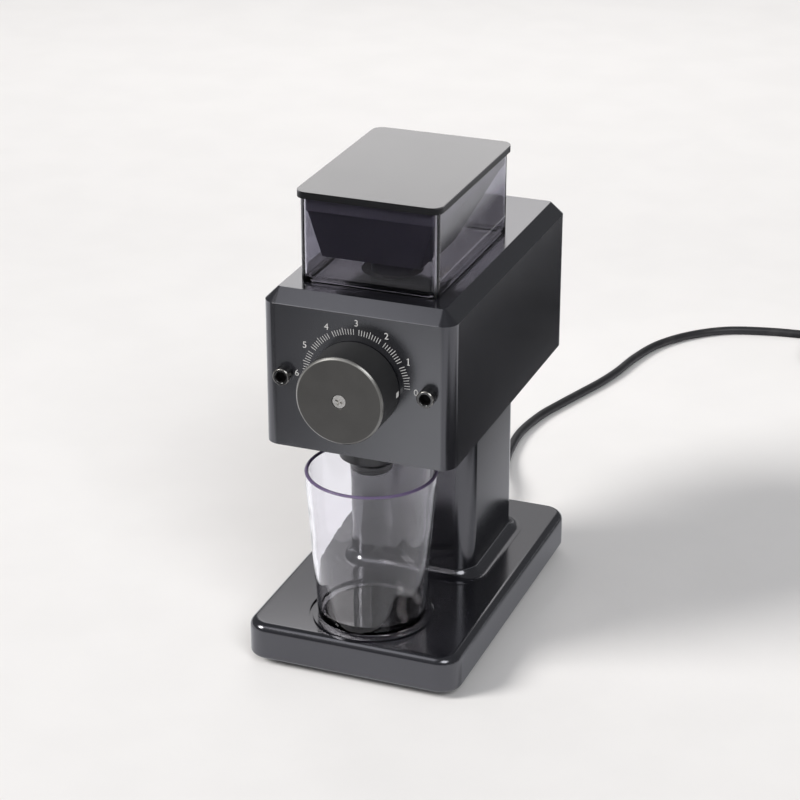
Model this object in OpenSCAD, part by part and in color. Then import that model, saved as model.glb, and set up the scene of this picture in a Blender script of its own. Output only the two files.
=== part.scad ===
// Electric coffee grinder: a square head on a column, with a hopper above it and a cup below its spout.
// X runs to the right, Y to the back and Z up. The origin is on the floor, under the middle of the grinder.

/* [Base] */
// Width of the base
base_w = 130; // [120:1:150]
// Depth of the base
base_d = 210; // [206:1:230]
// Thickness of the base
base_h = 22; // [22:1:30]
// Corner radius of the base in plan
base_r = 13; // [8:1:20]
// Fillet along the top edge of the base
base_edge = 5; // [3:0.5:6]
// Height of the rubber feet
foot_h = 5; // [3:0.5:7]

/* [Column] */
// Width of the column
col_w = 80; // [72:1:84]
// Depth of the column
col_d = 83; // [70:1:86]
// Height of the column
col_h = 109.5; // [104:0.5:130]
// Distance from the front of the base to the front of the column
col_y = 94.5; // [92:0.5:102]
// Radius of the column's corners
col_r = 12; // [10:1:15]
// How far the flare at the foot of the column reaches out
col_flare = 8; // [4:0.5:9]
// Height of the flare at the foot of the column
col_rise = 5.5; // [4:0.5:7]

/* [Head] */
// Width of the head
head_w = 113; // [108:1:124]
// Depth of the head
head_d = 201.3; // [198:0.1:214]
// Height of the head
head_h = 92.7; // [91:0.1:100]
// Distance from the front of the base to the front of the head
head_set = 16.2; // [12:0.1:18]
// Chamfer round the top of the head
head_chamfer = 7.5; // [5:0.5:8]
// Radius of the head's upright corners
head_r = 9; // [8:0.5:11]
// Thickness of the head's sides and top
head_wall = 4; // [3:0.5:5]

/* [Dial] */
// Radius of the dial
dial_r = 25.6; // [22:0.1:29]
// How far the dial stands out of the head
dial_out = 25; // [22:0.5:28]
// Height of the dial's axis above the underside of the head
axis_up = 44.1; // [43:0.1:46]
// Distance between the two front screws
front_screw_gap = 85; // [82:1:88]

/* [Hopper] */
// Width of the hopper
hop_w = 81; // [76:1:90]
// Depth of the hopper
hop_d = 118.6; // [112:0.1:130]
// Height of the hopper, without its lid
hop_h = 50.4; // [46:0.1:60]
// Distance from the front of the head to the front of the hopper
hop_set = 18; // [12:0.5:22]
// Thickness of the lid above the hopper's rim
lid_t = 2.8; // [2:0.1:4]
// How far the lid reaches past the hopper
lid_over = 2; // [1.6:0.1:3]

/* [Cup] */
// Outer radius of the cup at its foot
cup_foot_r = 31.5; // [28:0.5:33]
// Outer radius of the cup at its rim
cup_rim_r = 38; // [35:0.5:40]
// Gap between the cup's rim and the tip of the spout
cup_gap = 0.6; // [0.5:0.1:6]
// Wall of the cup
cup_wall = 2.2; // [1.6:0.1:3]
// Distance from the front of the base to the middle of the cup
cup_y = 38.5; // [37:0.1:40]

/* [Grinding] */
// Radius of the drive shaft
shaft_r = 5; // [4:0.5:5.5]
// Wide radius of the cone burr
cone_r = 18; // [16:0.5:19]
// Gap between the two burrs
burr_gap = 0.5; // [0.4:0.05:0.8]
// Radius of the motor
motor_r = 36; // [34:0.5:37]
// Travel of the burr carrier over the dial's half turn
carrier_travel = 1.2; // [0.6:0.1:1.4]

/* [Cord] */
// Diameter of the mains cord
cord_d = 6; // [5:0.5:6.5]
// Length of the strain relief outside the base
relief_l = 28; // [20:1:40]

/* [Hidden] */
$fn = 64;

// Clearance of a running fit, of a loose fit and between parts that only pass each other
run_fit = 0.05;
loose = 0.15;
pass = 0.35;
// Length that a cut reaches past a face
cut = 1;

// Levels
base_z = foot_h;
base_top = base_z + base_h;
head_z = base_top + col_h;
head_top = head_z + head_h;
axis_z = head_z + axis_up;
hop_top = head_top + hop_h;

// Middle of the grinder from front to back, without its cord
head_back = head_set + head_d;
y_shift = -(min(0, head_set - dial_out) + max(base_d, head_back)) / 2;

// Base
base_wall = 6;
base_skin = 6;
base_under = 2;
cover_t = 2.5;
pocket_w = base_w - 2 * base_wall;
pocket_d = base_d - 2 * base_wall;
cover_screw_x = pocket_w / 2 - 7;
cover_screw_y = 7;
cover_boss_r = 4.5;
foot_r = 9;
groove_r = cup_foot_r + 5;
groove_w = 2;
groove_h = 1.2;

// Column
col_wall = 4;
col_lip = 0.2;
col_screw_x = col_w / 2 - col_r;
col_screw_y = [col_y + col_r, col_y + col_d - col_r];
col_screw_r = 2.5;
wire_r = 8;

// Head
front_wall = 7;
floor_t = 5;
rear_wall = 7;
rear_t = 3;
inside_y = head_set + front_wall;
rear_y = head_back - rear_wall;
rear_seat = head_back - rear_t;
inside_w = head_w - 2 * head_wall;
inside_z = head_z + floor_t;
inside_top = head_top - head_wall;
inside_chamfer = head_chamfer - 1.8;
rear_w = inside_w - 6;
rear_z = [head_z + 4, head_top - head_chamfer - 2.5];
rear_r = 5;
rear_ledge = 4.5;
rear_post = 5.5;
rear_screw_x = rear_w / 2 - 6;
rear_screw_z = [rear_z[0] + 6, rear_z[1] - 6];

// Spout
chute_y = cup_y;
chute_bore = 8.5;
chute_tube = 12;
chute_top_r = 18.2;
chute_band = 7.3;
chute_drop = 16.1;
chute_cove = chute_band + chute_top_r - chute_tube;
chute_tip = head_z - chute_drop;
chute_seat = inside_z + 4.5;

// Cup
cup_top = chute_tip - cup_gap;
cup_h = cup_top - base_top;
cup_floor = 3.5;

// Grind chamber, from the front wall to the motor
chamber_r = 31;
bore_r = 26.3;
bore_end = inside_y + 36.8;
feed_r = 15;
feed_end = bore_end + 26;
seat_y = feed_end + 4;
bearing_r = 13;
bearing_l = 8;
chamber_end = seat_y + bearing_l;
neck_y = (bore_end + feed_end) / 2;
neck_bore = 12.5;
neck_r = 19;
ear_l = 22;
ear_r = 7;
cap_r = 3;
cap_head_r = 5;
cap_head_h = 6;
key_w = 4;

// Carrier and burrs
carrier_r = bore_r - 0.3;
carrier_wall = 3;
carrier_y = inside_y + 3;
carrier_t = 4;
ring_y = inside_y + 16;
ring_end = bore_end - 2;
nut_r = 9;
burr_y = ring_y + 1;
burr_end = ring_end - 1;
cone_tip_r = 9.5;
cone_lean = atan((cone_r - cone_tip_r) / (burr_end - burr_y));
tooth = 1.6;
bolt_head_h = 4;
bolt_head_r = 6.5;

// Dial and its spindle
dial_front = head_set - dial_out;
dial_gap = 0.6;
dial_back = head_set - dial_gap;
dial_face = 5;
dial_bevel = 1.2;
dial_wall = 3.6;
dial_hub_r = 10;
spindle_r = 5;
bush_r = 9;
spindle_end = carrier_y + carrier_t + carrier_travel + 0.6;
dial_screw_r = 3.8;
dial_screw_h = 2.2;
dial_shank_r = 2;

// Motor
flange_t = 4;
can_wall = 2.5;
can_y = chamber_end;
can_l = 78;
can_end = can_y + can_l;
bell_t = 6;
stator_y = can_y + 11;
stator_l = 51;
rotor_r = 20.3;
winding_t = 8;
winding_l = 3.5;
winding_ring = rotor_r + 3 + winding_t / 2;
vent_r = 4;
vent_ring = 25;
fan_y = can_end + bell_t + 3;
fan_l = 9;
fan_r = motor_r - 6;
shaft_y = burr_y + 2;
shaft_end = fan_y + fan_l + 1;
motor_screw_r = 2;
motor_screw_ring = 22;

// Hopper
hop_y = head_set + hop_set;
hop_r = 4.5;
hop_wall = 2.5;
hop_foot = 5;
hop_foot_h = 2.5;
rim_t = 1.2;
rim_band = 8;
funnel_wall = 1.8;
funnel_in = hop_wall + loose;
funnel_bore = funnel_in + funnel_wall;
funnel_step = 1.2;
funnel_band = hop_top - rim_t - rim_band;
funnel_knee = head_top + 14.5;
funnel_low = head_top + 7;
knee_w = 58;
knee_y = [hop_y + 6, neck_y + 17];
neck_out = neck_bore - 0.3;
neck_in = 10.5;
neck_end = head_top - 14;
lid_r = 6.5;
lid_lip = 1.2;
seal_h = 7;
seal_t = 2;

// Switch on the left side
switch_y = head_set + head_d * 2 / 3;
switch_z = axis_z - 10;
switch_l = 19;
switch_w = 13;
switch_rim = 2.5;
switch_deep = 14;
rocker_r = 8.7;
rocker_w = 12.2;
rocker_tilt = 7;

// Cord: it leaves the base low at the back, lies on the floor, and ends in a coil and a plug
cord_r = cord_d / 2;
exit_z = base_z + 10;
lie_z = cord_r + 0.1;
relief_barrel = 5.8;
coil_z = cord_r + 1.5;
coil_step = cord_d + 0.5;
coil_rounds = 3;
coil_mid = 5.5 * cord_d;
coil_out = coil_mid + coil_step * coil_rounds / 4;
coil_in = coil_mid - coil_step * coil_rounds / 4;
coil_x = 184;
coil_y = 352;
lead = cord_d + 1;
lay_y = coil_y + coil_out;
route = [
    [0, relief_l, exit_z], [0, relief_l + 14, exit_z - 0.8], [-2, 64, 9.5], [-6, 86, 5],
    [-11, 110, lie_z], [-14, 142, lie_z], [-10, 174, lie_z], [-3, 198, lie_z],
    [5, 222, lie_z], [13, 246, lie_z], [19, 270, lie_z], [24, 300, lie_z],
    [33, 330, lie_z], [50, 356, lie_z], [74, 376, lie_z], [104, lay_y - 4, lie_z],
    [132, lay_y, lie_z], [156, lay_y, coil_z - 0.6],
    [coil_x - lead - 8, lay_y, coil_z], [coil_x - lead, lay_y, coil_z]
];
plug_l = 40;
plug_r = 10.6;
blade_l = 17;
blade_w = 6.3;
blade_t = 1.5;
blade_gap = 12.7;

black = "#2b2b2e";
steel = "#b9babd";
brass = "#b49a5a";
rubber = "#1c1c1e";

// Everything is drawn with Y measured from the front of the base
module placed() {
    translate([0, y_shift, 0]) children();
}

// Turned piece along Y, drawn with its radius along x and its length along y
module turned(y) {
    translate([0, y, axis_z]) rotate([-90, 0, 0]) rotate_extrude() children();
}

// Straight rod along Y
module rod(r, y0, y1, x = 0, z = axis_z) {
    translate([x, y0, z]) rotate([-90, 0, 0]) cylinder(r = r, h = y1 - y0);
}

// Upright rod
module post(r, z0, z1, x = 0, y = 0) {
    translate([x, y, z0]) cylinder(r = r, h = z1 - z0);
}

// Block given by its width about the middle, and its limits along Y and Z
module block(w, y0, y1, z0, z1, x = 0) {
    translate([x - w / 2, y0, z0]) cube([w, y1 - y0, z1 - z0]);
}

// Flat outline with round corners, from y = 0 back
module outline(w, d, r) {
    translate([-w / 2, r]) square([w, d - 2 * r]);
    translate([-w / 2 + r, 0]) square([w - 2 * r, d]);
    for (x = [-1, 1], y = [r, d - r]) translate([x * (w / 2 - r), y]) circle(r);
}

// Upright wall with round corners
module wall(w, d, r, y, z, h) {
    translate([0, y, z]) linear_extrude(h) outline(w, d, r);
}

// Side view of a plate whose edges are rounded, by r above and by u below
module round_top(w, h, r, u) {
    translate([-w / 2, u]) square([w, h - r - u]);
    translate([-w / 2 + r, 0]) square([w - 2 * r, h]);
    for (x = [-1, 1]) {
        translate([x * (w / 2 - r), h - r]) circle(r);
        translate([x * (w / 2 - u), u]) circle(u);
        translate([x * (w / 2 - (r + u) / 2) - (r - u) / 2, 0]) square([r - u, 2 * u]);
    }
}

// Half of the same view, for the corners
module round_top_half(w, h, r, u) {
    translate([0, u]) square([w, h - r - u]);
    square([w - r, h]);
    translate([w - r, h - r]) circle(r);
    translate([w - u, u]) circle(u);
    translate([w - r, 0]) square([r - u, 2 * u]);
}

// Section across the head
module head_section(w, h, c) {
    polygon([[-w / 2, 0], [w / 2, 0], [w / 2, h - c], [w / 2 - c, h], [-w / 2 + c, h], [-w / 2, h - c]]);
}

module base_plate() {
    color(black) placed() difference() {
        union() {
            translate([0, base_d - base_r, base_z]) rotate([90, 0, 0])
                linear_extrude(base_d - 2 * base_r) round_top(base_w, base_h, base_edge, base_under);
            translate([-base_w / 2 + base_r, base_d / 2, base_z]) rotate([90, 0, 90])
                linear_extrude(base_w - 2 * base_r) round_top(base_d, base_h, base_edge, base_under);
            for (x = [-1, 1], y = [base_r, base_d - base_r])
                translate([x * (base_w / 2 - base_r), y, base_z])
                    rotate_extrude() round_top_half(base_r, base_h, base_edge, base_under);
        }
        difference() {
            block(pocket_w, base_wall, base_d - base_wall, base_z - cut, base_top - base_skin);
            for (x = [-1, 1], y = [cover_screw_y, pocket_d - cover_screw_y])
                post(cover_boss_r, base_z + cover_t, base_top, x * cover_screw_x, base_wall + y);
        }
        for (x = [-1, 1], y = [cover_screw_y, pocket_d - cover_screw_y])
            post(1.5, base_z, base_z + 13, x * cover_screw_x, base_wall + y);
        for (x = [-1, 1], y = col_screw_y)
            post(col_screw_r + loose, base_z, base_top + cut, x * col_screw_x, y);
        post(wire_r, base_z, base_top + cut, 0, col_y + col_d / 2);
        rod(relief_barrel + loose, base_d - base_wall - cut, base_d + cut, 0, exit_z);
        translate([0, cup_y, base_top - groove_h]) rotate_extrude()
            translate([groove_r - groove_w, 0]) square([groove_w, groove_h + cut]);
    }
}

// Board feet stand on the bottom cover
board = [70, 64, 1.6];
board_y = 16;
board_z = base_z + cover_t + 3.5;

module bottom_cover() {
    color("#343437") placed() {
        difference() {
            block(pocket_w - 2 * loose, base_wall + loose, base_d - base_wall - loose, base_z, base_z + cover_t);
            for (x = [-1, 1], y = [cover_screw_y, pocket_d - cover_screw_y]) {
                post(1.6, base_z - cut, base_z + cover_t + cut, x * cover_screw_x, base_wall + y);
                post(3.2, base_z - cut, base_z + 1.5, x * cover_screw_x, base_wall + y);
            }
        }
        for (x = [-1, 1], y = [6, board[1] - 6])
            post(3, base_z + cover_t - 0.5, board_z, x * (board[0] / 2 - 6), board_y + y);
    }
}

module rubber_feet() {
    color(rubber) placed()
        for (x = [-1, 1], y = [30, base_d - 30])
            translate([x * (pocket_w / 2 - 14), y, 0]) {
                cylinder(r1 = foot_r - 1, r2 = foot_r, h = 1);
                translate([0, 0, 1]) cylinder(r = foot_r, h = foot_h - 1);
            }
}

module cover_screws() {
    color(steel) placed()
        for (x = [-1, 1], y = [cover_screw_y, pocket_d - cover_screw_y])
            translate([x * cover_screw_x, base_wall + y, base_z]) difference() {
                union() {
                    translate([0, 0, 0.2]) cylinder(r = 3, h = 1.3);
                    cylinder(r = 1.45, h = 12);
                }
                for (a = [0, 90]) rotate(a) translate([-2, -0.4, -cut]) cube([4, 0.8, cut + 0.8]);
            }
}

module power_board() {
    color("#2f6b45") placed() {
        block(board[0], board_y, board_y + board[1], board_z, board_z + board[2]);
        translate([0, board_y, board_z + board[2] - 0.2]) {
            translate([-0.35 * board[0], board[1] / 8, 0]) cube([0.3 * board[0], 0.28 * board[1], 7]);
            translate([0.08 * board[0], board[1] / 8, 0]) cube([0.3 * board[0], 0.22 * board[1], 5]);
            translate([0.17 * board[0], 0.62 * board[1], 0]) cylinder(r = 6, h = 8);
            translate([-0.06 * board[0], 0.66 * board[1], 0]) cylinder(r = 4, h = 8);
            translate([-0.4 * board[0], 0.6 * board[1], 0]) cube([0.2 * board[0], 0.25 * board[1], 6]);
        }
    }
}

// Concave flare, level where it ends and with a crease where it meets the wall at x = 0
module cove() {
    r = (col_flare * col_flare + col_rise * col_rise) / (2 * col_rise);
    difference() {
        translate([-1, 0]) square([col_flare + 1, col_rise + col_lip + 0.6]);
        translate([col_flare, r + col_lip]) circle(r);
    }
}

module column() {
    side = col_w - 2 * col_r;
    depth = col_d - 2 * col_r;
    color(black) placed() {
        difference() {
            wall(col_w, col_d, col_r, col_y, base_top, col_h);
            difference() {
                wall(col_w - 2 * col_wall, col_d - 2 * col_wall, col_r - col_wall,
                    col_y + col_wall, base_top - cut, col_h + 2 * cut);
                for (x = [-1, 1], y = col_screw_y)
                    post(col_r - col_wall + 0.4, base_top - 2 * cut, head_z + 2 * cut, x * col_screw_x, y);
            }
            for (x = [-1, 1], y = col_screw_y, z = [base_top - cut, head_z - 18])
                post(col_screw_r + 0.05, z, z + 18 + cut, x * col_screw_x, y);
        }
        for (s = [0, 180])
            translate([0, col_y + col_d / 2, base_top]) rotate(s) {
                translate([-side / 2, col_d / 2, 0]) rotate([90, 0, 90])
                    linear_extrude(side) cove();
                translate([col_w / 2, depth / 2, 0]) rotate([90, 0, 0])
                    linear_extrude(depth) cove();
                for (k = [0, 1])
                    translate([(1 - 2 * k) * side / 2, depth / 2, 0]) rotate(90 * k)
                        rotate_extrude(angle = 90) translate([col_r, 0]) cove();
            }
    }
}

// Socket-head screw pointing up, with the underside of its head at z = 0
module cap_screw(r, l, head_r, head_h) {
    edge = 0.1 * head_r;
    socket_r = 0.64 * head_r;
    sink = 0.15 * head_r;
    difference() {
        union() {
            cylinder(r = r, h = l);
            translate([0, 0, edge - head_h]) cylinder(r = head_r, h = head_h - edge);
            translate([0, 0, -head_h]) cylinder(r1 = head_r - edge, r2 = head_r, h = edge);
        }
        translate([0, 0, -head_h - cut]) cylinder(r = socket_r, h = head_h * 0.55 + cut, $fn = 6);
        translate([0, 0, -head_h - cut])
            cylinder(r1 = 0.7 * head_r + cut, r2 = 0.7 * head_r - sink, h = sink + cut);
    }
}

module column_screws() {
    color(steel) placed()
        for (x = [-1, 1], y = col_screw_y)
            translate([x * col_screw_x, y, base_top - base_skin])
                cap_screw(col_screw_r, base_skin + 15, 4.2, 4);
}

module head_screws() {
    color(steel) placed()
        for (x = [-1, 1], y = col_screw_y)
            translate([x * col_screw_x, y, inside_z]) rotate([180, 0, 0])
                cap_screw(col_screw_r, floor_t + 14, 4.2, 4);
}

module head_body() {
    low = head_h - head_chamfer;
    translate([0, head_back - head_r, head_z]) rotate([90, 0, 0])
        linear_extrude(head_d - 2 * head_r) head_section(head_w, head_h, head_chamfer);
    translate([-head_w / 2 + head_r, head_set + head_d / 2, head_z]) rotate([90, 0, 90])
        linear_extrude(head_w - 2 * head_r) head_section(head_d, head_h, head_chamfer);
    for (x = [-1, 1], y = [head_set + head_r, head_back - head_r])
        translate([x * (head_w / 2 - head_r), y, head_z]) {
            cylinder(r = head_r, h = low);
            translate([0, 0, low]) cylinder(r1 = head_r, r2 = head_r - head_chamfer, h = head_chamfer);
        }
}

// Plate across the back of the head, with the rear cover's outline drawn in by a distance
module rear_plate(inset, y0, y1) {
    translate([0, y1, rear_z[0] + inset]) rotate([90, 0, 0])
        linear_extrude(y1 - y0) outline(rear_w - 2 * inset, rear_z[1] - rear_z[0] - 2 * inset, rear_r);
}

module head_shell() {
    color(black) placed() difference() {
        head_body();
        difference() {
            union() {
                translate([0, rear_y, inside_z]) rotate([90, 0, 0])
                    linear_extrude(rear_y - inside_y)
                        head_section(inside_w, inside_top - inside_z, inside_chamfer);
                rear_plate(rear_ledge, rear_y - cut, head_back);
            }
            for (x = [-1, 1], z = [0, 1])
                block(inside_w / 2 + cut - rear_screw_x + rear_post, rear_y - rear_post, head_back + cut,
                    z == 0 ? inside_z - cut : rear_screw_z[1] - rear_post,
                    z == 0 ? rear_screw_z[0] + rear_post : inside_top + cut,
                    x * (inside_w / 2 + cut + rear_screw_x - rear_post) / 2);
        }
        rear_plate(-pass, rear_seat, head_back + cut);
        for (x = [-1, 1], z = rear_screw_z) rod(1.55, rear_seat - 8.5, rear_seat + cut, x * rear_screw_x, z);
        rod(bush_r, head_set - cut, inside_y + cut);
        for (x = [-1, 1]) rod(cap_r + 0.1, head_set - cut, inside_y + cut, x * front_screw_gap / 2);
        post(chute_tube + pass, head_z - cut, inside_z + cut, 0, chute_y);
        for (x = [-1, 1], y = col_screw_y)
            post(col_screw_r + loose, head_z - cut, inside_z + cut, x * col_screw_x, y);
        post(wire_r, head_z - cut, inside_z + cut, 0, col_y + col_d / 2);
        post(neck_bore + 5, inside_top - cut, head_top + cut, 0, neck_y);
        block(head_wall + 2 * cut, switch_y - switch_l / 2 - loose, switch_y + switch_l / 2 + loose,
            switch_z - switch_w / 2 - loose, switch_z + switch_w / 2 + loose, -head_w / 2 + head_wall / 2);
    }
}

module rear_cover() {
    slots = 7;
    slot_l = 46;
    slot_r = 1.5;
    color(black) placed() difference() {
        rear_plate(0, rear_seat, head_back);
        for (i = [0 : slots - 1])
            translate([0, 0, (i - (slots - 1) / 2) * 7]) {
                block(slot_l, rear_seat - cut, head_back + cut, axis_z - slot_r, axis_z + slot_r);
                for (x = [-1, 1]) rod(slot_r, rear_seat - cut, head_back + cut, x * slot_l / 2);
            }
        for (x = [-1, 1], z = rear_screw_z) {
            rod(1.7, rear_seat - cut, head_back + cut, x * rear_screw_x, z);
            rod(3.2, head_back - 2, head_back + cut, x * rear_screw_x, z);
        }
    }
}

module rear_screws() {
    color(steel) placed()
        for (x = [-1, 1], z = rear_screw_z)
            difference() {
                union() {
                    rod(1.5, rear_seat - 7.5, head_back - 0.4, x * rear_screw_x, z);
                    rod(3, head_back - 2, head_back - 0.4, x * rear_screw_x, z);
                }
                for (a = [0, 90])
                    translate([x * rear_screw_x, head_back - 1.2, z]) rotate([0, a, 0])
                        translate([-2, 0, -0.4]) cube([4, 2, 0.8]);
            }
}

module cap_screws() {
    color("#19191b") placed()
        for (x = [-1, 1])
            translate([x * front_screw_gap / 2, head_set, axis_z]) rotate([-90, 0, 0])
                cap_screw(cap_r, front_wall + ear_l - 6, cap_head_r, cap_head_h);
}

module grind_chamber() {
    color("#8d8f93") placed() difference() {
        union() {
            rod(chamber_r, inside_y, chamber_end);
            for (x = [-1, 1]) {
                rod(ear_r, inside_y, inside_y + ear_l, x * front_screw_gap / 2);
                block(front_screw_gap / 2 - 26, inside_y, inside_y + ear_l, axis_z - 5, axis_z + 5,
                    x * (front_screw_gap / 4 + 13));
            }
            post(neck_r, axis_z, inside_top, 0, neck_y);
            post(chute_tube + 2, chute_seat, axis_z, 0, chute_y);
        }
        difference() {
            rod(bore_r, inside_y - cut, bore_end);
            block(key_w - 0.6, inside_y - 2 * cut, bore_end + cut, axis_z + bore_r - 1.8, axis_z + bore_r + 2);
        }
        rod(feed_r, bore_end - cut, feed_end);
        rod(shaft_r + 1.5, feed_end - cut, chamber_end + cut);
        rod(bearing_r + 0.02, seat_y, chamber_end + cut);
        post(neck_bore, axis_z + 4, inside_top + cut, 0, neck_y);
        post(chute_bore, chute_seat - cut, axis_z - 10, 0, chute_y);
        for (x = [-1, 1]) rod(cap_r + 0.02, inside_y - cut, inside_y + ear_l + cut, x * front_screw_gap / 2);
        for (a = [45 : 90 : 315])
            rod(motor_screw_r + 0.02, chamber_end - 9, chamber_end + cut,
                motor_screw_ring * cos(a), axis_z + motor_screw_ring * sin(a));
    }
}

module chute() {
    color("#2a2a2d") placed() translate([0, chute_y, 0]) difference() {
        union() {
            post(chute_tube, head_z - 0.5, chute_seat);
            translate([0, 0, head_z]) mirror([0, 0, 1]) rotate_extrude() difference() {
                polygon([[0, 0], [chute_top_r, 0], [chute_top_r, chute_band], [chute_tube, chute_cove],
                    [chute_tube, chute_drop - 0.8], [chute_tube - 0.8, chute_drop], [0, chute_drop]]);
                translate([chute_top_r + 0.4, chute_cove]) circle(chute_cove - chute_band);
            }
        }
        post(chute_bore, chute_tip - cut, chute_seat + cut);
    }
}

module throat_seal() {
    color(rubber) placed() translate([0, neck_y, inside_top]) difference() {
        cylinder(r = neck_bore + 4.85, h = head_wall - 0.2);
        translate([0, 0, -cut]) cylinder(r = neck_bore + 0.1, h = head_wall + 2 * cut);
    }
}

// Radius of the cone burr at a distance y from the front of the base
function cone_at(y) = cone_r + (cone_tip_r - cone_r) * (y - burr_y) / (burr_end - burr_y);

module outer_burr() {
    r_out = carrier_r - carrier_wall - 0.03;
    color(steel) placed() difference() {
        turned(burr_y) polygon([
            [cone_at(burr_y) + burr_gap, 0], [r_out, 0], [r_out, ring_end - burr_y],
            [cone_at(burr_end) + burr_gap, ring_end - burr_y], [cone_at(burr_end) + burr_gap, burr_end - burr_y]
        ]);
        for (a = [0 : 24 : 336])
            translate([0, burr_y, axis_z]) rotate([0, a, 0]) translate([cone_r + burr_gap + tooth, 0, -tooth / 2])
                rotate([0, 0, cone_lean]) translate([-8, -10, 0]) cube([8, 2 * (ring_end - burr_y), tooth]);
    }
}

module burr_carrier() {
    color("#6f7176") placed() difference() {
        union() {
            difference() {
                rod(carrier_r, carrier_y, ring_end);
                rod(carrier_r - carrier_wall, carrier_y - cut, ring_end + cut);
                for (a = [30 : 120 : 270])
                    translate([0, carrier_y + carrier_t, axis_z]) rotate([0, a - 90, 0])
                        translate([-17, 0, 8]) cube([34, ring_y - carrier_y - carrier_t, 30]);
            }
            rod(nut_r, carrier_y, carrier_y + carrier_t);
            for (a = [0 : 120 : 240])
                translate([0, carrier_y, axis_z]) rotate([0, a, 0])
                    translate([-4, 0, nut_r - 2]) cube([8, carrier_t, carrier_r - nut_r]);
        }
        rod(spindle_r + run_fit, carrier_y - cut, carrier_y + carrier_t + cut);
        block(key_w, carrier_y - cut, ring_end + cut, axis_z + bore_r - 2.2, axis_z + bore_r + 2);
    }
}

module inner_burr() {
    color(steel) placed() difference() {
        turned(burr_y) polygon([
            [shaft_r + run_fit, 0], [cone_r, 0], [cone_tip_r, burr_end - burr_y], [shaft_r + run_fit, burr_end - burr_y]
        ]);
        for (a = [0 : 30 : 330])
            translate([0, burr_y, axis_z]) rotate([0, a, 0]) translate([cone_r - tooth, 0, -tooth / 2])
                rotate([0, 0, cone_lean]) translate([0, -10, 0]) cube([8, 2 * (ring_end - burr_y), tooth]);
    }
}

module burr_bolt() {
    color(steel) placed() translate([0, burr_y, axis_z]) rotate([-90, 0, 0])
        cap_screw(2.5, 14, bolt_head_r, bolt_head_h);
}

module feed_auger() {
    flights = 14;
    first = ring_end + carrier_travel + 0.6;
    color("#97999d") placed() difference() {
        union() {
            rod(shaft_r + 2.5, burr_end, feed_end - 0.6);
            for (i = [0 : flights - 1])
                translate([0, first + i * (feed_end - first - 4) / flights, axis_z]) rotate([0, i * 36, 0])
                    translate([0, 0, -2.6]) cube([feed_r - 0.9, 2.6, 5.2]);
        }
        rod(shaft_r + run_fit, burr_end - cut, feed_end + cut);
    }
}

module drive_shaft() {
    color(steel) placed() difference() {
        rod(shaft_r, shaft_y, shaft_end);
        rod(2.55, shaft_y - cut, shaft_y + 14);
    }
}

module bearing(y) {
    turned(y) difference() {
        translate([shaft_r + run_fit, 0]) square([bearing_r - shaft_r - run_fit, bearing_l]);
        translate([shaft_r + 2, -cut]) square([bearing_r - shaft_r - 4, cut + 0.6]);
        translate([shaft_r + 2, bearing_l - 0.6]) square([bearing_r - shaft_r - 4, cut + 0.6]);
    }
}

module front_bearing() {
    color(steel) placed() bearing(seat_y);
}

module rear_bearing() {
    color(steel) placed() bearing(can_end + bell_t - bearing_l);
}

module motor_can() {
    color("#77797d") placed() difference() {
        rod(motor_r, can_y, can_end);
        rod(motor_r - can_wall, can_y + flange_t, can_end + cut);
        rod(shaft_r + 4, can_y - cut, can_y + flange_t + cut);
        for (a = [45 : 90 : 315])
            rod(motor_screw_r + 0.1, can_y - cut, can_y + flange_t + cut,
                motor_screw_ring * cos(a), axis_z + motor_screw_ring * sin(a));
    }
}

module end_bell() {
    color("#8d8f93") placed() difference() {
        union() {
            rod(motor_r, can_end, can_end + bell_t);
            rod(bearing_r + 3, can_end + bell_t - bearing_l - 2, can_end + bell_t);
        }
        rod(bearing_r + 0.02, can_end + bell_t - bearing_l, can_end + bell_t + cut);
        rod(shaft_r + 1.5, can_end - bearing_l, can_end + bell_t + cut);
        for (a = [0 : 60 : 300])
            rod(vent_r, can_end - cut, can_end + bell_t + cut, vent_ring * cos(a), axis_z + vent_ring * sin(a));
    }
}

module motor_screws() {
    color("#3a3a3d") placed()
        for (a = [45 : 90 : 315])
            translate([motor_screw_ring * cos(a), can_y + flange_t, axis_z + motor_screw_ring * sin(a)])
                rotate([90, 0, 0]) cap_screw(motor_screw_r, flange_t + 7, 3.4, 3);
}

module stator_core() {
    color("#606266") placed() difference() {
        rod(motor_r - can_wall - 0.05, stator_y, stator_y + stator_l);
        rod(rotor_r + 0.7, stator_y - cut, stator_y + stator_l + cut);
        for (a = [0 : 45 : 315])
            translate([0, stator_y - cut, axis_z]) rotate([0, a, 0]) translate([rotor_r - 1, 0, -2])
                cube([7, stator_l + 2 * cut, 4]);
    }
}

module windings() {
    color("#a8643a") placed()
        for (y = [stator_y - winding_l, stator_y + stator_l]) {
            turned(y) translate([rotor_r + 3, 0]) square([winding_t, winding_l]);
            for (a = [22.5 : 45 : 337.5])
                rod(winding_t / 2 + 0.9, y, y + winding_l, winding_ring * cos(a), axis_z + winding_ring * sin(a));
        }
}

module rotor_core() {
    color("#4a4b4f") placed() difference() {
        rod(rotor_r, stator_y - 1, stator_y + stator_l + 1);
        rod(shaft_r + run_fit, stator_y - 2 * cut, stator_y + stator_l + 2 * cut);
    }
}

module cooling_fan() {
    color("#2a2a2d") placed() difference() {
        union() {
            rod(shaft_r + 4, fan_y, fan_y + fan_l);
            rod(fan_r, fan_y, fan_y + 1.6);
            for (a = [10 : 40 : 330])
                translate([0, fan_y + 1, axis_z]) rotate([0, a, 0]) translate([shaft_r + 3, 0, -0.8])
                    cube([fan_r - shaft_r - 3.6, fan_l - 1.6, 1.6]);
        }
        rod(shaft_r + run_fit, fan_y - cut, fan_y + fan_l + cut);
    }
}

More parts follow.
